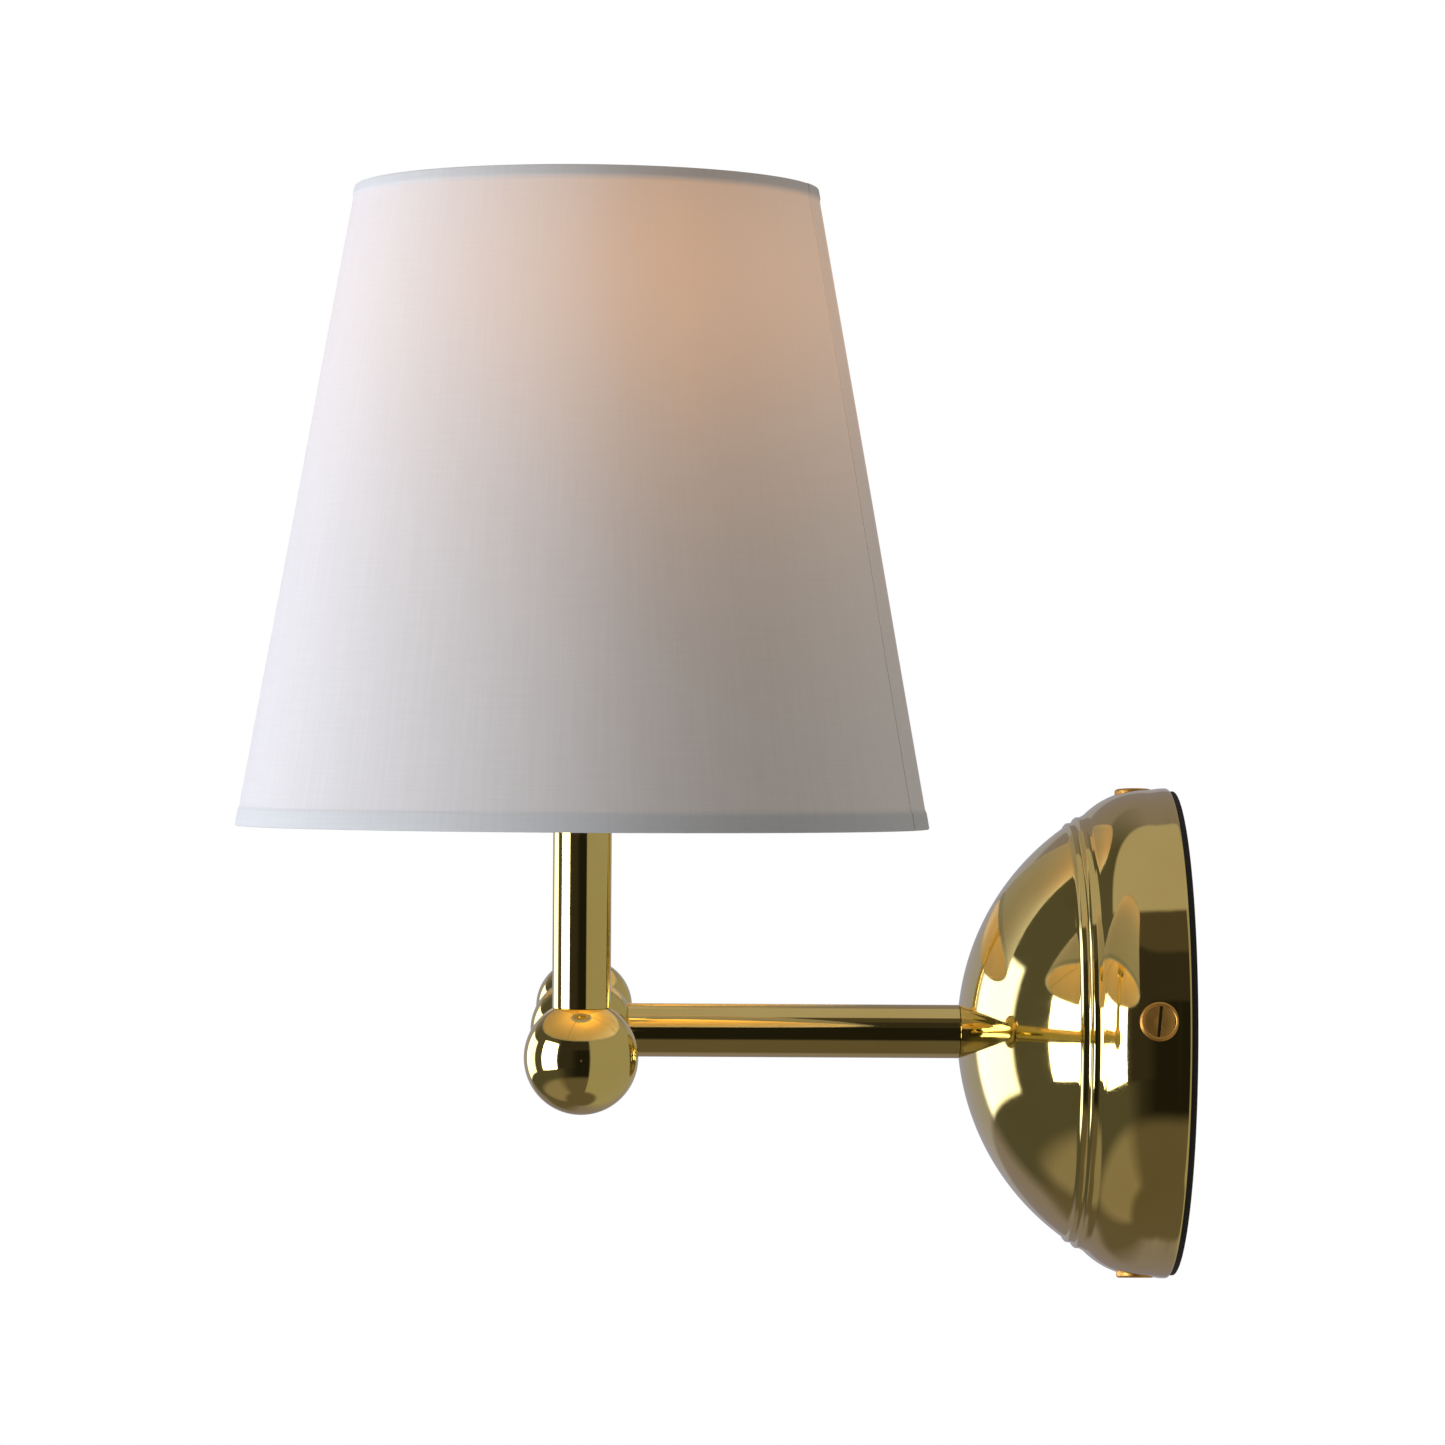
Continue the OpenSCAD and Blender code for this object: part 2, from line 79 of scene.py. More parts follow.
# Where a turned piece's own Z axis points
UP = Matrix.Identity(4)
TO_ROOM = Matrix.Rotation(math.radians(90), 4, "X")
TO_RIGHT = Matrix.Rotation(math.radians(90), 4, "Y")
TO_LEFT = Matrix.Rotation(math.radians(-90), 4, "Y")


# ------------------------------------------------------------ places, from the frame

def centre(node):
    low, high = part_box(node)
    return (low + high) / 2


def edge_radius(node, end):
    """Radius of a round node with an upright axis, at its bottom (end 0) or its top (end 1)."""
    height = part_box(node)[end].z
    middle = centre(node)
    ring = [v.co for v in frame["nodes"][node].data.vertices if abs(v.co.z - height) < 0.1 * MM]
    return max(math.hypot(p.x - middle.x, p.y - middle.y) for p in ring)


wall_low, wall_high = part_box("dome_cover")
COVER_R = wall_high.z
COVER_APEX = -wall_low.y
COVER_RIM = -wall_high.y
BALL_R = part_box("centre_ball")[1].z
REACH = -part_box("centre_ball")[0].y - BALL_R
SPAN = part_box("right_end_ball")[1].x - BALL_R
TUBE_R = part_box("right_side_tube")[1].z
SHADE_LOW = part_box("right_shade_cloth")[0].z
SHADE_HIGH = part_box("right_shade_cloth")[1].z
SHADE_BOTTOM_R = edge_radius("right_shade_cloth", 0)
SHADE_TOP_R = edge_radius("right_shade_cloth", 1)
SHADE_SLOPE = math.atan((SHADE_BOTTOM_R - SHADE_TOP_R) / (SHADE_HIGH - SHADE_LOW))
SHADE_SLANT = (SHADE_HIGH - SHADE_LOW) / math.cos(SHADE_SLOPE)
BULB_LOW, BULB_HIGH = (corner.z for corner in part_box("right_bulb_glass"))

# Hems and seam of the shade's cloth
BOTTOM_HEM = 4 * MM
TOP_HEM = 2.4 * MM
SEAM_LAP = 10 * MM


def side_axis(side):
    """A point on the upright axis of one side's lamp."""
    return Vector((SPAN if side == "right" else -SPAN, -REACH, 0))


# ------------------------------------------------------------------ building meshes

def add_piece(name, verts, faces, body, material, stands_for=(), uvs=None):
    """A smooth mesh piece that rides on a body and replaces the CAD nodes in stands_for."""
    mesh = bpy.data.meshes.new(name)
    mesh.from_pydata(verts, [], faces)
    if uvs:
        layer = mesh.uv_layers.new(name="cloth")
        for loop in mesh.loops:
            layer.data[loop.index].uv = uvs[loop.vertex_index]
    tidy = bmesh.new()
    tidy.from_mesh(mesh)
    bmesh.ops.recalc_face_normals(tidy, faces=tidy.faces)
    tidy.to_mesh(mesh)
    tidy.free()
    mesh.shade_smooth()
    mesh.set_sharp_from_angle(angle=SMOOTH_ANGLE)
    mesh.materials.append(material)
    piece = bpy.data.objects.new(name, mesh)
    scene.collection.objects.link(piece)
    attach(piece, body)
    if stands_for:
        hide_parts(*stands_for)
    return piece


def arc(across, along, radius, start, end, steps):
    """Points (across, along) of an arc from start to end, in degrees from the across axis."""
    angles = [math.radians(start + (end - start) * k / steps) for k in range(steps + 1)]
    return [(across + radius * math.cos(a), along + radius * math.sin(a)) for a in angles]


def soften(corners):
    """Outline with rounded corners: each corner is (across, along, size), size 0 for a plain point.

    A point beside each rounded corner keeps the flat next to it flat when it is shaded.
    """
    steps = 3
    guard = 1.6      # the point's distance from the corner, in corner sizes
    outline = []
    for index, (x, y, size) in enumerate(corners):
        here = Vector((x, y))
        if not size:
            outline.append((x, y))
            continue
        before = Vector(corners[index - 1][:2]) - here
        after = Vector(corners[(index + 1) % len(corners)][:2]) - here
        first, last = here + before.normalized() * size, here + after.normalized() * size
        if before.length > 3 * size:
            outline.append(tuple(here + before.normalized() * guard * size))
        for k in range(steps + 1):
            t = k / steps
            outline.append(tuple(first * (1 - t) ** 2 + here * 2 * t * (1 - t) + last * t * t))
        if after.length > 3 * size:
            outline.append(tuple(here + after.normalized() * guard * size))
    return outline


def turned(outline, place, columns, wave=None):
    """Vertices and faces of a closed outline (radius, along) turned round the Z axis of place.

    wave(angle, along) is added to the radius, for threads.
    """
    on_axis = 1e-6
    verts, rings = [], []
    for radius, along in outline:
        count = 1 if radius < on_axis else columns
        rings.append(range(len(verts), len(verts) + count))
        for k in range(count):
            angle = 2 * math.pi * k / columns
            reach = radius + (wave(angle, along) if wave and radius > on_axis else 0)
            verts.append(place @ Vector((reach * math.cos(angle), reach * math.sin(angle), along)))
    faces = []
    for ring, after in zip(rings, rings[1:] + rings[:1]):
        if len(ring) == 1 and len(after) == 1:
            continue
        for k in range(columns):
            n = (k + 1) % columns
            corners = [ring[k % len(ring)], ring[n % len(ring)]]
            corners += [after[n % len(after)], after[k % len(after)]]
            faces.append(list(dict.fromkeys(corners)))
    return verts, faces


# ---------------------------------------------------------------------- shader nodes

class Shader:
    """A node tree with short calls for the nodes that the materials here are made of."""

    def __init__(self, name, tree=None):
        if tree is None:
            self.material = bpy.data.materials.new(name)
            self.material.use_nodes = True
            tree = self.material.node_tree
            self.surface = tree.nodes["Principled BSDF"]
        self.tree = tree

    def put(self, socket, value):
        """Links a node's output to socket, or sets a plain value on it."""
        if isinstance(value, bpy.types.NodeSocket):
            self.tree.links.new(value, socket)
        elif hasattr(value, "__len__") and len(value) == 3 and socket.type == "RGBA":
            socket.default_value = (*value, 1)
        else:
            socket.default_value = value

    def node(self, kind, inputs, output=0, **settings):
        made = self.tree.nodes.new(kind)
        for key, value in settings.items():
            setattr(made, key, value)
        for key, value in inputs.items():
            self.put(made.inputs[key], value)
        return made.outputs[output]

    def set(self, **inputs):
        """Sets the surface's sockets: Base_Color=... stands for Base Color."""
        for key, value in inputs.items():
            self.put(self.surface.inputs[key.replace("_", " ")], value)

    def place(self):
        return self.node("ShaderNodeTexCoord", {}, "Object")

    def math(self, operation, a, b=0.0):
        return self.node("ShaderNodeMath", {0: a, 1: b}, operation=operation)

    def parts(self, vector):
        split = self.tree.nodes.new("ShaderNodeSeparateXYZ")
        self.put(split.inputs[0], vector)
        return split.outputs

    def joined(self, x, y, z):
        return self.node("ShaderNodeCombineXYZ", {0: x, 1: y, 2: z})

    def stretched(self, vector, scale):
        return self.node("ShaderNodeMapping", {"Vector": vector, "Scale": scale})

    def noise(self, vector, scale, detail=4.0, roughness=0.5):
        inputs = {"Vector": vector, "Scale": scale, "Detail": detail, "Roughness": roughness}
        return self.node("ShaderNodeTexNoise", inputs)

    def span(self, value, low, high, to_low=0.0, to_high=1.0, smooth=False):
        """Maps low..high onto to_low..to_high, and holds the ends."""
        inputs = {"Value": value, 1: low, 2: high, 3: to_low, 4: to_high}
        kind = "SMOOTHSTEP" if smooth else "LINEAR"
        return self.node("ShaderNodeMapRange", inputs, interpolation_type=kind)

    def mix(self, factor, a, b):
        made = self.tree.nodes.new("ShaderNodeMix")
        made.data_type = "RGBA"
        for key, value in ((0, factor), (6, a), (7, b)):
            self.put(made.inputs[key], value)
        return made.outputs[2]

    def ramp(self, value, stops):
        made = self.tree.nodes.new("ShaderNodeValToRGB")
        self.put(made.inputs[0], value)
        elements = made.color_ramp.elements
        while len(elements) < len(stops):
            elements.new(0.5)
        for element, (position, colour) in zip(elements, stops):
            element.position = position
            element.color = (*colour, 1)
        return made.outputs[0]

    def bump(self, height, distance, strength=1.0, under=None):
        inputs = {"Height": height, "Distance": distance, "Strength": strength}
        if under is not None:
            inputs["Normal"] = under
        return self.node("ShaderNodeBump", inputs)


# -------------------------------------------------------------------------- materials

def polished_brass(name, spun=False):
    """Lacquered polished brass: clouded tone, faint wiping marks and, when spun, fine rings."""
    s = Shader(name)
    place = s.place()
    clouds = s.noise(place, 38, detail=3)
    wipes = s.noise(s.stretched(place, (1, 0.35, 2.2)), 160, detail=6, roughness=0.62)
    specks = s.noise(place, 2400, detail=2)
    wiped = s.span(wipes, 0.35, 0.75, 0.035, 0.085)
    speckled = s.span(specks, 0.62, 0.8, 0, 0.05)
    s.set(
        Base_Color=s.mix(s.span(clouds, 0.3, 0.7), (0.81, 0.665, 0.235), (0.875, 0.735, 0.29)),
        Metallic=1.0,
        Roughness=s.math("ADD", wiped, speckled),
        Coat_Weight=0.15,
        Coat_Roughness=0.03,
    )
    normal = s.bump(s.noise(place, 420, detail=2), 0.00001, 0.25)
    if spun:
        split = s.parts(place)
        across = s.math("POWER", split[0], 2.0)
        up = s.math("POWER", split[2], 2.0)
        radius = s.math("SQRT", s.math("ADD", across, up))
        lines = s.noise(s.joined(radius, s.math("MULTIPLY", split[1], 0.02), 0.0), 5200, detail=2)
        normal = s.bump(lines, 0.000004, 0.3, normal)
    s.set(Normal=normal)
    return s.material


def satin_metal(name, tone, deep, roughness, grain=900):
    """Plain machined metal with turning marks and a little tarnish in its low spots."""
    s = Shader(name)
    place = s.place()
    tarnish = s.noise(place, 85, detail=6, roughness=0.65)
    marks = s.noise(s.stretched(place, (1, 1, 7)), grain, detail=4)
    s.set(
        Base_Color=s.mix(s.span(tarnish, 0.38, 0.7), tone, deep),
        Metallic=1.0,
        Roughness=s.span(marks, 0.3, 0.7, roughness - 0.08, roughness + 0.1),
        Normal=s.bump(marks, 0.00002, 0.4),
    )
    return s.material


def zinc_steel(name):
    """Zinc-plated sheet: crystal spangle under a rolled grain."""
    s = Shader(name)
    place = s.place()
    spangle = s.node("ShaderNodeTexVoronoi", {"Vector": place, "Scale": 150.0}, "Color")
    grey = s.parts(spangle)[0]
    grain = s.noise(s.stretched(place, (0.12, 1, 1)), 1400, detail=4)
    s.set(
        Base_Color=s.mix(grey, (0.52, 0.53, 0.55), (0.70, 0.71, 0.72)),
        Metallic=1.0,
        Roughness=s.math("ADD", s.span(grain, 0.3, 0.7, 0.28, 0.4), s.math("MULTIPLY", grey, 0.08)),
        Normal=s.bump(grain, 0.00002, 0.5),
    )
    return s.material


def moulded(name, tone, shade, roughness, grain, depth):
    """Moulded plastic, rubber or paint: slight mottling and a fine surface texture."""
    s = Shader(name)
    place = s.place()
    mottle = s.noise(place, 70, detail=5, roughness=0.6)
    texture = s.noise(place, grain, detail=3)
    s.set(
        Base_Color=s.mix(s.span(mottle, 0.3, 0.7), shade, tone),
        Roughness=s.span(texture, 0.3, 0.7, roughness - 0.07, roughness + 0.08),
        Normal=s.bump(texture, depth, 0.6),
    )
    return s.material


def braided(name):
    """Woven sleeve of the lamp lead: two crossing sets of fine strands."""
    s = Shader(name)
    place = s.place()
    x, y, z = s.parts(place)
    around = s.math("ADD", x, s.math("ADD", y, z))
    back = s.math("SUBTRACT", x, s.math("SUBTRACT", y, z))
    strands = 7200.0     # radians of weave per metre
    weave = s.math(
        "MULTIPLY",
        s.math("SINE", s.math("MULTIPLY", around, strands)),
        s.math("SINE", s.math("MULTIPLY", back, strands)),
    )
    fibre = s.noise(place, 3000, detail=3)
    s.set(
        Base_Color=s.mix(s.span(weave, -1, 1), (0.012, 0.012, 0.013), (0.05, 0.048, 0.046)),
        Roughness=s.span(fibre, 0.3, 0.7, 0.6, 0.8),
        Sheen_Weight=0.25,
        Normal=s.bump(weave, 0.00008, 0.7),
    )
    return s.material


def lamp_glow(s, peak, spread):
    """Light of the bulb on the shade, from 0 to peak: cosine at the cone over distance squared.

    spread evens it out, as a bulb of that radius would.
    """
    x, y, z = s.parts(s.place())
    out = s.math("SUBTRACT", s.math("ABSOLUTE", x), SPAN)
    away = s.math("ADD", y, REACH)
    radius_square = s.math("ADD", s.math("MULTIPLY", out, out), s.math("MULTIPLY", away, away))
    radius = s.math("SQRT", radius_square)
    rise = s.math("SUBTRACT", z, BULB_LOW + 0.6 * (BULB_HIGH - BULB_LOW))
    square = s.math("ADD", s.math("MULTIPLY", radius, radius), s.math("MULTIPLY", rise, rise))
    facing = s.math(
        "ADD",
        s.math("MULTIPLY", radius, math.cos(SHADE_SLOPE)),
        s.math("MULTIPLY", rise, math.sin(SHADE_SLOPE)),
    )
    cosine = s.math("DIVIDE", facing, s.math("SQRT", square))
    fall = s.math("DIVIDE", SHADE_TOP_R**2 + spread**2, s.math("ADD", square, spread**2))
    # the glow shows most at one bearing, and the window pales it on the room side
    turn = s.math("DIVIDE", away, radius)
    best = 0.35
    showing = s.math("MULTIPLY", s.span(turn, -1, best, 0.22, 1), s.span(turn, best, 1, 1, 0.78))
    return s.math("MULTIPLY", s.math("MULTIPLY", cosine, fall), s.math("MULTIPLY", showing, peak))


def shade_cloth_material(name):
    """Off-white linen-like cloth with slubs both ways, lit through by the bulb behind it."""
    s = Shader(name)
    cloth = s.node("ShaderNodeUVMap", {}, uv_map="cloth")
    warp = s.noise(s.stretched(cloth, (2300, 60, 1)), 1, detail=3, roughness=0.6)
    weft = s.noise(s.stretched(cloth, (60, 2300, 1)), 1, detail=3, roughness=0.6)
    slub = s.noise(s.stretched(cloth, (900, 25, 1)), 1, detail=2)
    threads = s.math("ADD", s.math("MULTIPLY", warp, 0.5), s.math("MULTIPLY", weft, 0.5))
    dense = s.math("ADD", s.math("MULTIPLY", threads, 0.7), s.math("MULTIPLY", slub, 0.3))
    around, along, _ = s.parts(cloth)
    hem_top = BOTTOM_HEM + 0.1 * MM
    hem_below = SHADE_SLANT - TOP_HEM - 0.2 * MM
    clear_of_bottom = s.span(along, hem_top - 1 * MM, hem_top + 1 * MM, smooth=True)
    clear_of_top = s.span(along, hem_below - 1 * MM, hem_below + 1 * MM, 1, 0, smooth=True)
    clear_of_lap = s.span(around, SEAM_LAP - 0.5 * MM, SEAM_LAP + 0.5 * MM, 0.8, 1)
    clear_of_hems = s.math("MULTIPLY", clear_of_bottom, clear_of_top)
    single = s.math("MULTIPLY", clear_of_hems, clear_of_lap)
    # painted shade: the hems, two layers of cloth, are painted darker as shade where they keep back the
    # light from within, and darker still on the wall side
    weave = s.span(dense, 0.3, 0.7)
    tone = s.mix(weave, (0.68, 0.695, 0.735), (0.76, 0.775, 0.815))
    room_hem_painted_shade = s.mix(weave, (0.63, 0.67, 0.715), (0.705, 0.75, 0.795))
    wall_hem_painted_shade = s.mix(weave, (0.535, 0.57, 0.63), (0.60, 0.635, 0.695))
    away = s.math("ADD", s.parts(s.place())[1], REACH)
    painted_shade_towards_wall = s.span(away, -0.4 * SHADE_BOTTOM_R, 0.6 * SHADE_BOTTOM_R)
    hem_painted_shade = s.mix(painted_shade_towards_wall, room_hem_painted_shade, wall_hem_painted_shade)
    see_through = s.span(single, 0, 1, 0.2, 1)
    paler = s.span(away, 0.2 * SHADE_TOP_R, 0.6 * SHADE_TOP_R)
    warm = s.mix(paler, (1.0, 0.40, 0.03), (1.0, 0.45, 0.14))
    glow = lamp_glow(s, 0.415, 0.0)
    glow = s.math("MULTIPLY", glow, s.span(dense, 0.3, 0.7, 1.12, 0.86))
    s.set(
        # the hems take the painted shade, the rest of the cloth its own tone
        Base_Color=s.mix(clear_of_hems, hem_painted_shade, tone),
        Roughness=0.9,
        Sheen_Weight=0.12,
        Sheen_Roughness=0.5,
        Emission_Color=warm,
        Emission_Strength=s.math("MULTIPLY", glow, see_through),
        Normal=s.bump(dense, 0.00006, 0.6),
    )
    return s.material


def lining_material(name):
    """Stiff white lining behind the cloth, faintly mottled, with the lamp's light in it."""
    s = Shader(name)
    place = s.place()
    pulp = s.noise(place, 260, detail=5, roughness=0.7)
    s.set(
        Base_Color=s.mix(s.span(pulp, 0.3, 0.7), (0.82, 0.80, 0.76), (0.89, 0.88, 0.85)),
        Roughness=s.span(pulp, 0.3, 0.7, 0.42, 0.58),
        Emission_Color=(1.0, 0.45, 0.0),
        Emission_Strength=lamp_glow(s, 0.85, 0.03),
        Normal=s.bump(pulp, 0.00003, 0.4),
    )
    return s.material


def bulb_material(name):
    """Frosted glass of the lit bulb, hottest round its middle."""
    s = Shader(name)
    place = s.place()
    height = s.parts(place)[2]
    middle = BULB_LOW + 0.45 * (BULB_HIGH - BULB_LOW)
    fade = 40 * MM
    off = s.math("ABSOLUTE", s.math("SUBTRACT", height, middle))
    frost = s.noise(place, 1900, detail=3)
    s.set(
        Base_Color=(0.9, 0.88, 0.84),
        Roughness=s.span(frost, 0.3, 0.7, 0.32, 0.48),
        Coat_Weight=0.4,
        Coat_Roughness=0.15,
        Emission_Color=(1.0, 0.62, 0.26),
        Emission_Strength=s.span(off, 0.0, fade, 2.0, 1.25, smooth=True),
        Normal=s.bump(frost, 0.00002, 0.5),
    )
    return s.material


def glowing_rods(name):
    """Phosphor-coated filament rods on a glass post."""
    s = Shader(name)
    place = s.place()
    grain = s.noise(place, 1500, detail=3)
    s.set(
        Base_Color=s.mix(s.span(grain, 0.3, 0.7), (0.95, 0.72, 0.30), (1.0, 0.84, 0.5)),
        Roughness=s.span(grain, 0.3, 0.7, 0.35, 0.5),
        Emission_Color=(1.0, 0.6, 0.25),
        Emission_Strength=s.span(grain, 0.2, 0.8, 1.6, 2.4),
        Normal=s.bump(grain, 0.00003, 0.5),
    )
    return s.material


MATERIALS = {
    "polished_brass": polished_brass("polished_brass"),
    "spun_brass": polished_brass("spun_brass", spun=True),
    "screw_brass": satin_metal(
        "screw_brass", tone=(0.80, 0.47, 0.13), deep=(0.66, 0.37, 0.10), roughness=0.46, grain=1600,
    ),
    "plain_brass": satin_metal(
        "plain_brass", tone=(0.74, 0.57, 0.26), deep=(0.55, 0.40, 0.17), roughness=0.32,
    ),
    "bush_bronze": satin_metal(
        "bush_bronze", tone=(0.62, 0.40, 0.20), deep=(0.42, 0.26, 0.13), roughness=0.42,
    ),
    "nickel_cap": satin_metal(
        "nickel_cap", tone=(0.74, 0.72, 0.68), deep=(0.58, 0.56, 0.52), roughness=0.25,
    ),
    "zinc_steel": zinc_steel("zinc_steel"),
    "black_rubber": moulded(
        "black_rubber", tone=(0.022, 0.022, 0.023), shade=(0.012, 0.012, 0.013),
        roughness=0.72, grain=1300, depth=0.00004,
    ),
    "white_plastic": moulded(
        "white_plastic", tone=(0.83, 0.81, 0.76), shade=(0.77, 0.75, 0.69),
        roughness=0.36, grain=1600, depth=0.00001,
    ),
    "white_wire": moulded(
        "white_wire", tone=(0.84, 0.83, 0.80), shade=(0.76, 0.74, 0.70),
        roughness=0.38, grain=900, depth=0.00003,
    ),
    "lead_sleeve": braided("lead_sleeve"),
    "shade_lining": lining_material("shade_lining"),
    "shade_cloth": shade_cloth_material("shade_cloth"),
    "bulb_glass": bulb_material("bulb_glass"),
    "filament_rods": glowing_rods("filament_rods"),
}


def finish_cad_nodes():
    """Every CAD node that stays takes the material of its slot in the record."""
    for row in frame["record"]["subparts"]:
        mesh = frame["nodes"][row["node"]].data
        mesh.materials.clear()
        mesh.materials.append(MATERIALS[row["material_slot"]])


# -------------------------------------------------------------------------- wall plate

CAP_ROUND = 61.3 * MM
CAP_BACK = CAP_ROUND - COVER_APEX     # how far the cap's centre is behind the wall face
SHOULDER_ROUND = 20 * MM
SKIRT = 7 * MM                        # length of the straight skirt
SHEET = 1 * MM
BEADS = (25.6 * MM, 23.4 * MM)        # distance of each raised bead from the wall face
BEAD_HALF = 1.05 * MM
BEAD_PROUD = 0.5 * MM
ARM_HOLE_R = 5.05 * MM


def bead_height(depth, slant):
    """How far the raised beads stand off the cap at a depth from the wall face.

    slant turns a difference in depth into length along the cap.
    """
    for middle in BEADS:
        off = abs(depth - middle) / slant
        if off < BEAD_HALF:
            return BEAD_PROUD * math.cos(math.pi * off / BEAD_HALF / 2) ** 1.5
    return 0.0


def cap_line(under, with_beads, end_d):
    """Arc of the cap from the arm's hole down to the shoulder, under its outer face by under."""
    radius = CAP_ROUND - under
    first = math.asin(ARM_HOLE_R / radius)
    last = math.acos((end_d + CAP_BACK) / radius)
    steps = 130
    points = []
    for k in range(steps + 1):
        angle = first + (last - first) * k / steps
        depth = radius * math.cos(angle) - CAP_BACK
        reach = radius + (bead_height(depth, math.sin(angle)) if with_beads else 0)
        points.append((reach * math.sin(angle), reach * math.cos(angle) - CAP_BACK))
    return points


def cover():
    """The spun cover: domed cap, two beads, rolled shoulder, straight skirt and a narrow lip."""
    shoulder_r = COVER_R - SHOULDER_ROUND
    # depth where the cap meets the shoulder
    gap = shoulder_r**2 + (SKIRT + CAP_BACK) ** 2
    reach = (CAP_ROUND**2 - SHOULDER_ROUND**2 + gap) / (2 * math.sqrt(gap))
    lean = math.atan2(shoulder_r, SKIRT + CAP_BACK)
    meet = lean - math.acos(reach / CAP_ROUND)
    end_d = CAP_ROUND * math.cos(meet) - CAP_BACK
    start = math.degrees(math.asin((end_d - SKIRT) / SHOULDER_ROUND))
    outside = cap_line(0, True, end_d)
    outside += arc(shoulder_r, SKIRT, SHOULDER_ROUND, start, 0, 40)[1:]
    # how far out from the skirt and up from the rim, in mm
    flare = (
        (0.01, 5.0), (0.05, 4.2), (0.14, 3.4), (0.26, 2.6), (0.36, 1.9), (0.41, 1.3), (0.42, 0.7),
        (0.42, 0.4), (0.38, 0.18), (0.28, 0.04), (0.1, 0), (-1, 0),
    )
    lip = [(COVER_R + out * MM, COVER_RIM + up * MM) for out, up in flare]
    inside = arc(shoulder_r, SKIRT, SHOULDER_ROUND - SHEET, 0, start, 16)
    inside += cap_line(SHEET, False, end_d)[::-1][1:]
    verts, faces = turned(outside + lip + inside, TO_ROOM, COVER_COLUMNS)
    add_piece("cover", verts, faces, "base", MATERIALS["spun_brass"], ["dome_cover"])


SCREW_TURN = 5.6                  # degrees that the ring of four screws is turned by
SLOT_LEANS = (-5.5, 14, -31, 8)   # degrees at which each screw stopped
SLOT_HALF = 0.4 * MM
SLOT_DEPTH = 0.6 * MM
SLOT_REACH = 3.6 * MM             # half the slot's length: the radius of the flat face
# A flat face inside a raised rim, and the shank: radius, height above the skirt and corner, in mm
SCREW_PROFILE = (
    (0, 0.14, 0), (1.8, 0.13, 0), (3.5, 0.08, 0), (3.66, 0.02, 0.03), (4.02, 0.3, 0.05),
    (4.18, 0.3, 0.05), (4.55, 0, 0.1), (4.6, -0.25, 0.03), (4.6, -1.4, 0.03), (2, -1.4, 0),
    (2, -6, 0), (0, -6, 0),
)


def scratch_object(name, made):
    """A short-lived object from a bmesh, which is freed."""
    mesh = bpy.data.meshes.new(name)
    made.to_mesh(mesh)
    made.free()
    scratch = bpy.data.objects.new(name, mesh)
    scene.collection.objects.link(scratch)
    return scratch


def slotted(verts, faces):
    """Mesh of a screw with its axis along Z, its slot cut along Y and its edges eased."""
    made = bmesh.new()
    corners = [made.verts.new(v) for v in verts]
    for face in faces:
        made.faces.new([corners[i] for i in face])
    bmesh.ops.recalc_face_normals(made, faces=made.faces)
    head = scratch_object("head", made)

    floor = 0.1 * MM - SLOT_DEPTH
    height = 2 * MM
    made = bmesh.new()
    bmesh.ops.create_cube(made, size=1)
    bmesh.ops.scale(made, vec=(2 * SLOT_HALF, 2 * SLOT_REACH, height), verts=made.verts)
    bmesh.ops.translate(made, vec=(0, 0, height / 2 + floor), verts=made.verts)
    slot = scratch_object("slot", made)

    cut = head.modifiers.new("slot", "BOOLEAN")
    cut.operation = "DIFFERENCE"
    cut.object = slot
    cut.solver = "EXACT"
    edge = head.modifiers.new("edge", "BEVEL")
    edge.width = 0.05 * MM
    edge.segments = 2
    edge.limit_method = "ANGLE"
    edge.angle_limit = math.radians(40)
    graph = bpy.context.evaluated_depsgraph_get()
    done = bpy.data.meshes.new_from_object(head.evaluated_get(graph))
    bpy.data.objects.remove(head)
    bpy.data.objects.remove(slot)
    return done


def cover_screws():
    """Four slotted screws, with their heads nearly flush in the skirt."""
    node = "cover_screws"
    depth = -centre(node).y
    outline = soften([(r * MM, up * MM, size * MM) for r, up, size in SCREW_PROFILE])
    for index, lean in enumerate(SLOT_LEANS):
        done = slotted(*turned(outline, UP, SMALL_COLUMNS))
        angle = math.radians(90 * index + SCREW_TURN)
        place = TO_ROOM @ Matrix.Rotation(angle, 4, "Z") @ Matrix.Translation((COVER_R, 0, depth))
        place = place @ TO_RIGHT @ Matrix.Rotation(math.radians(lean), 4, "Z")
        verts = [place @ v.co for v in done.vertices]
        faces = [list(p.vertices) for p in done.polygons]
        name = f"cover_screw_{index + 1}"
        add_piece(name, verts, faces, "base", MATERIALS["screw_brass"], [node])


# -------------------------------------------------------------------------------- arms

BORE_R = 4.75 * MM


def tube(name, node, body, place, start, end, start_line=None):
    """A tube with eased ends from start to end along the Z axis of place; its bore is open.

    start_line(radius) gives where the wall starts, for an end that is coped to another piece.
    """
    ease = 0.3 * MM
    bore_ease = 0.1 * MM
    corners = [
        (BORE_R, start, bore_ease), (TUBE_R, start, ease),
        (TUBE_R, end, ease), (BORE_R, end, bore_ease),
    ]
    if start_line:
        corners[0] = (BORE_R, start_line(BORE_R), 0)
        corners[1] = (TUBE_R, start_line(TUBE_R), 0.2 * MM)
    verts, faces = turned(soften(corners), place, TUBE_COLUMNS)
    add_piece(name, verts, faces, body, MATERIALS["polished_brass"], [node])


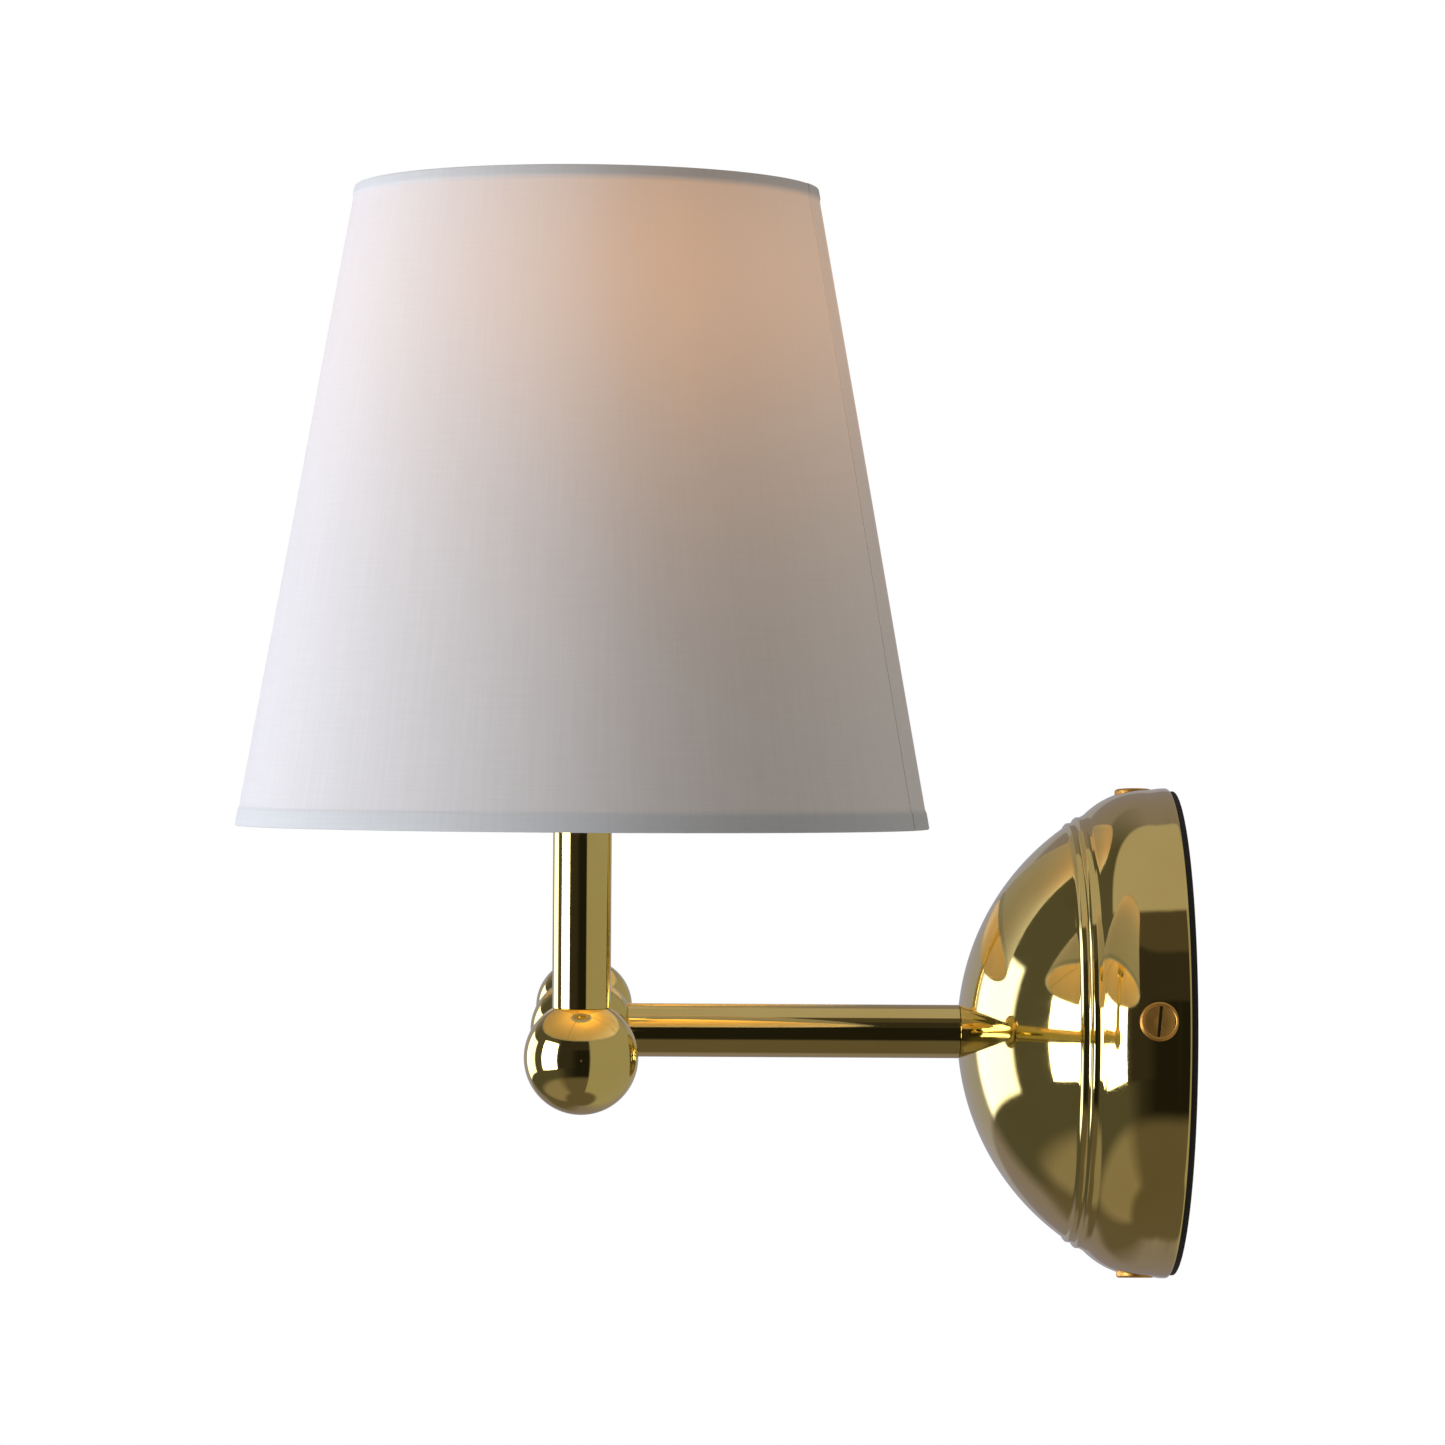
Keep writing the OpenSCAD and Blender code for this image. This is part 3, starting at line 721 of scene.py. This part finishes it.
def arms():
    """The arm from the cover to the centre ball, and each side's arm and stem."""
    clear = 0.05 * MM

    def on_cap(radius):
        """Distance from the wall face at which the cap has this radius."""
        return math.sqrt((CAP_ROUND + clear) ** 2 - radius**2) - CAP_BACK

    room_end = -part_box("arm_tube")[0].y
    tube("arm", "arm_tube", "arm", TO_ROOM, on_cap(TUBE_R), room_end, on_cap)
    for side, turn in zip(SIDES, (TO_RIGHT, TO_LEFT)):
        low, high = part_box(f"{side}_side_tube")
        near, far = sorted((abs(low.x), abs(high.x)))
        place = Matrix.Translation((0, -REACH, 0)) @ turn
        tube(f"{side}_side_arm", f"{side}_side_tube", f"{side}_arm", place, near, far)
        low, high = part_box(f"{side}_stem_tube")
        place = Matrix.Translation(side_axis(side))
        tube(f"{side}_stem", f"{side}_stem_tube", f"{side}_arm", place, low.z, high.z)


# ------------------------------------------------------------------------ lamp holders

def holder(side):
    """White lamp holder body with its outer thread, a flange and a spigot into the cap."""
    node = f"{side}_holder_body"
    low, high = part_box(node)
    flange_r = (high.x - low.x) / 2
    body_r = 14 * MM
    spigot_r = 10.8 * MM
    bore_r = 8 * MM
    body_z = low.z + 6 * MM
    flange_z = body_z + 10 * MM
    flange_top = flange_z + 2 * MM
    pitch = 2 * MM
    thread_depth = 0.45 * MM
    thread_start = flange_top + 1 * MM
    thread_end = high.z - 1.5 * MM
    rows = int((thread_end - thread_start) / (pitch / 8))
    thread = [(body_r, thread_start + (thread_end - thread_start) * k / rows) for k in range(rows + 1)]
    lower = soften([
        (bore_r, body_z + 3 * MM, 0), (1.5 * MM, body_z + 3 * MM, 0), (1.5 * MM, low.z, 0),
        (spigot_r, low.z, 0.3 * MM), (spigot_r, body_z, 0), (body_r, body_z, 0.4 * MM),
        (body_r, flange_z, 0), (flange_r, flange_z, 0.4 * MM), (flange_r, flange_top, 0.4 * MM),
        (body_r - 0.3 * MM, flange_top, 0),
    ])
    upper = soften([
        (body_r - 0.4 * MM, high.z, 0.3 * MM), (bore_r, high.z, 0.3 * MM), (bore_r, body_z + 4 * MM, 0),
    ])

    def threads(angle, along):
        if not thread_start < along < thread_end:
            return 0
        turn = (along / pitch - angle / (2 * math.pi)) % 1
        return -thread_depth * abs(2 * turn - 1)

    place = Matrix.Translation(side_axis(side))
    verts, faces = turned(lower + thread + upper, place, SMALL_COLUMNS, wave=threads)
    name, material = f"{side}_lamp_holder", MATERIALS["white_plastic"]
    add_piece(name, verts, faces, f"{side}_arm", material, [node])


def bulb(side):
    """Frosted candle bulb: narrow neck, full belly and drawn tip."""
    node = f"{side}_bulb_glass"
    neck_r = 6.9 * MM
    belly_r = 17.4 * MM
    belly_at = 0.36      # share of the length
    fullness = 0.72      # below 1 gives the upper half a fuller curve
    length = BULB_HIGH - BULB_LOW
    steps = 60
    outline = [(0, BULB_LOW)]
    for k in range(steps + 1):
        u = k / steps
        if u < belly_at:
            radius = neck_r + (belly_r - neck_r) * (1 - math.cos(math.pi * u / belly_at)) / 2
        else:
            past = (u - belly_at) / (1 - belly_at)
            radius = belly_r * max(0, math.cos(math.pi / 2 * past)) ** fullness
        outline.append((radius, BULB_LOW + length * u))
    verts, faces = turned(outline, Matrix.Translation(side_axis(side)), SMALL_COLUMNS)
    name, material = f"{side}_bulb", MATERIALS["bulb_glass"]
    add_piece(name, verts, faces, f"{side}_arm", material, [node])


# ------------------------------------------------------------------------------ shades

SEAM_AT = math.radians(70)       # where the cloth's outer end lies, from +X towards the wall
CLOTH = 0.45 * MM                # thickness
HEM_PROUD = 0.22 * MM
LAP_PROUD = 0.14 * MM            # how far the lap at the seam stands off, at its outer end
LAP_EASE = 12 * MM
RIPPLE = 0.06 * MM


def smooth(t):
    """Eased step from 0 at t = 0 to 1 at t = 1."""
    t = min(1, max(0, t))
    return t * t * (3 - 2 * t)


def cloth_section():
    """Closed section of the cloth as (offset from the cone, distance up it): out, up, over and down."""
    roll = (CLOTH + HEM_PROUD) / 2
    middle = HEM_PROUD - roll
    rows = 70
    heights = [SHADE_SLANT * k / rows for k in range(1, rows)]
    heights = [along for along in heights if 2 * roll < along < SHADE_SLANT - 2 * roll]
    for edge in (BOTTOM_HEM, SHADE_SLANT - TOP_HEM):
        heights += [edge + step * MM for step in (-0.5, -0.2, 0.2, 0.5)]
    ease = 0.8 * MM
    section = arc(middle, roll, roll, 180, 360, 8)
    for along in sorted(heights):
        in_bottom_hem = 1 - smooth((along - BOTTOM_HEM) / ease + 0.5)
        in_top_hem = smooth((along - SHADE_SLANT + TOP_HEM) / ease + 0.5)
        section.append((HEM_PROUD * max(in_bottom_hem, in_top_hem), along))
    section += arc(middle, SHADE_SLANT - roll, roll, 0, 180, 8)
    section += [(-CLOTH, SHADE_SLANT * k / 6) for k in range(5, 0, -1)]
    return section


def shade(side):
    """The cloth on one shade: one piece round the cone, lapped at its back seam, with rolled hems."""
    node = f"{side}_shade_cloth"
    axis = side_axis(side)
    mean_r = (SHADE_BOTTOM_R + SHADE_TOP_R) / 2
    section = cloth_section()
    verts, uvs, faces = [], [], []
    for k in range(SHADE_COLUMNS + 1):
        turn = 2 * math.pi * (k / SHADE_COLUMNS)
        angle = SEAM_AT + turn
        lap = LAP_PROUD * (1 - smooth((turn * mean_r - SEAM_LAP) / LAP_EASE))
        for offset, along in section:
            out = offset + lap if offset > -CLOTH / 2 else offset
            out += RIPPLE * math.sin(3 * angle + 40 * along) * math.sin(math.pi * along / SHADE_SLANT)
            reach = SHADE_BOTTOM_R - along * math.sin(SHADE_SLOPE) + out * math.cos(SHADE_SLOPE)
            height = SHADE_LOW + along * math.cos(SHADE_SLOPE) + out * math.sin(SHADE_SLOPE)
            verts.append(axis + Vector((reach * math.cos(angle), reach * math.sin(angle), height)))
            uvs.append((turn * mean_r, along))
    count = len(section)
    for k in range(SHADE_COLUMNS + 1):
        after = (k + 1) % (SHADE_COLUMNS + 1)
        for i in range(count):
            j = (i + 1) % count
            faces.append((k * count + i, after * count + i, after * count + j, k * count + j))
    name, material = f"{side}_shade", MATERIALS["shade_cloth"]
    piece = add_piece(name, verts, faces, f"{side}_arm", material, [node], uvs)


# ------------------------------------------------------------------- light and camera

# Brightness of the room's surfaces round the object
NIGHT = (0.014, 0.013, 0.01)
UMBER = (0.035, 0.03, 0.024)
OLIVE = (0.09, 0.085, 0.07)
BEIGE = (0.365, 0.335, 0.265)
STONE = (0.25, 0.22, 0.26)
PALE = (0.36, 0.35, 0.42)
WHITE = (2.6, 2.6, 3.0)
CEILING = (0.44, 0.39, 0.36)
HIGH_WALL = (0.08, 0.066, 0.05)
RUG = (0.28, 0.24, 0.205)
BOARDS = (0.13, 0.108, 0.085)


def room():
    """The world: plain soft panels round the object, pale behind it and dim where the camera stands."""
    world = bpy.data.worlds.new("studio")
    world.use_nodes = True
    scene.world = world
    s = Shader("studio", world.node_tree)
    x, y, z = s.parts(s.node("ShaderNodeTexCoord", {}, "Generated"))
    turn = s.math("ADD", s.math("DIVIDE", s.math("ARCTAN2", y, x), 2 * math.pi), 0.5)

    def round_room(*stops):
        """Colours at bearings from the camera's side: negative towards the room, positive the wall."""
        return s.ramp(turn, [((degrees + 180) / 360, colour) for degrees, colour in stops])

    level = round_room(
        (-180, PALE), (-141, PALE), (-137, WHITE), (-109, WHITE), (-106, OLIVE), (-52, OLIVE),
        (-44, UMBER), (-22, UMBER), (-8, NIGHT), (17, NIGHT), (20, BEIGE), (140, BEIGE), (170, PALE),
    )
    above = round_room(
        (-180, STONE), (-150, STONE), (-125, OLIVE), (-60, OLIVE), (-42, UMBER), (17, UMBER),
        (20, BEIGE), (130, BEIGE), (165, STONE),
    )
    high = round_room(
        (-180, STONE), (-130, OLIVE), (-30, HIGH_WALL), (17, HIGH_WALL), (24, BEIGE), (110, BEIGE),
        (140, STONE),
    )
    below = round_room(
        (-180, STONE), (-148, STONE), (-136, OLIVE), (-52, OLIVE), (-30, UMBER), (-10, NIGHT),
        (17, NIGHT), (20, BEIGE), (140, BEIGE), (172, STONE),
    )
    ground = round_room(
        (-180, STONE), (-158, BOARDS), (-132, BOARDS), (-120, RUG), (-62, RUG), (-38, BOARDS),
        (17, BOARDS), (20, BEIGE), (140, BEIGE), (172, STONE),
    )
    overhead = s.math("SUBTRACT", z, s.math("MULTIPLY", s.math("ABSOLUTE", x), 0.55))
    walls = s.mix(s.span(z, 0.29, 0.32), level, above)
    walls = s.mix(s.span(z, 0.64, 0.67), walls, high)
    walls = s.mix(s.span(overhead, 0.61, 0.64), walls, CEILING)
    walls = s.mix(s.span(z, -0.3, -0.33), walls, below)
    walls = s.mix(s.span(z, -0.54, -0.68, smooth=True), walls, ground)
    walls = s.mix(s.span(z, -0.91, -0.96, smooth=True), walls, BOARDS)
    seen = s.node("ShaderNodeLightPath", {}, "Is Camera Ray")
    background = world.node_tree.nodes["Background"]
    s.put(background.inputs["Color"], s.mix(seen, walls, (1.0, 1.0, 1.0)))


def lights():
    """The window on the room side, and a weak fill from behind."""
    middle = (cad_box[0] + cad_box[1]) / 2

    def panel(name, place, width, height, power, colour, mirrored=True):
        light = bpy.data.lights.new(name, "AREA")
        light.shape = "RECTANGLE"
        light.size, light.size_y = width, height
        light.energy = power
        light.color = colour
        lamp = bpy.data.objects.new(name, light)
        lamp.location = place
        lamp.rotation_euler = (middle - Vector(place)).to_track_quat("-Z", "Y").to_euler()
        lamp.visible_glossy = mirrored
        scene.collection.objects.link(lamp)

    panel("window", (0.71, -1.62, 0.117), 1.04, 1.38, 24, (0.955, 0.945, 0.965))
    panel("fill", (0.6, 1.1, 0.3), 0.8, 0.8, 1.2, (0.9, 0.93, 1.0), mirrored=False)


def floor():
    """A round, plain pale floor below the light."""
    radius, drop, steps = 1.15, 0.3, 96
    angles = [2 * math.pi * k / steps for k in range(steps)]
    edge = [(radius * math.cos(a), radius * math.sin(a), -drop) for a in angles]
    mesh = bpy.data.meshes.new("floor")
    mesh.from_pydata(edge, [], [list(range(steps))])
    s = Shader("floor_paint")
    grain = s.noise(s.place(), 9, detail=6)
    s.set(Base_Color=s.mix(grain, (0.80, 0.80, 0.79), (0.86, 0.86, 0.85)), Roughness=0.8)
    mesh.materials.append(s.material)
    disc = bpy.data.objects.new("floor", mesh)
    scene.collection.objects.link(disc)
    disc.visible_glossy = False


def camera():
    """Beside the light, level with its stems: a long lens from the right."""
    place = Vector((1.27708, -0.13985, 0.06947))
    yaw, pitch, roll = 0.0234, 0.0043, 0.0066     # radians
    ahead = Vector((-math.cos(yaw) * math.cos(pitch), math.sin(yaw) * math.cos(pitch), math.sin(pitch)))
    level = Vector((math.sin(yaw), math.cos(yaw), 0))
    upright = level.cross(ahead)
    right = math.cos(roll) * level + math.sin(roll) * upright
    up = -math.sin(roll) * level + math.cos(roll) * upright
    data = bpy.data.cameras.new("camera")
    data.sensor_width = 36
    data.lens = 130.65
    data.clip_start = 0.05
    made = bpy.data.objects.new("camera", data)
    scene.collection.objects.link(made)
    made.matrix_world = Matrix((
        (right.x, up.x, -ahead.x, place.x),
        (right.y, up.y, -ahead.y, place.y),
        (right.z, up.z, -ahead.z, place.z),
        (0, 0, 0, 1),
    ))
    scene.camera = made


camera()
room()
lights()
floor()
scene.view_settings.view_transform = "Standard"
finish_cad_nodes()
cover()
cover_screws()
arms()
for side in SIDES:
    holder(side)
    bulb(side)
    shade(side)
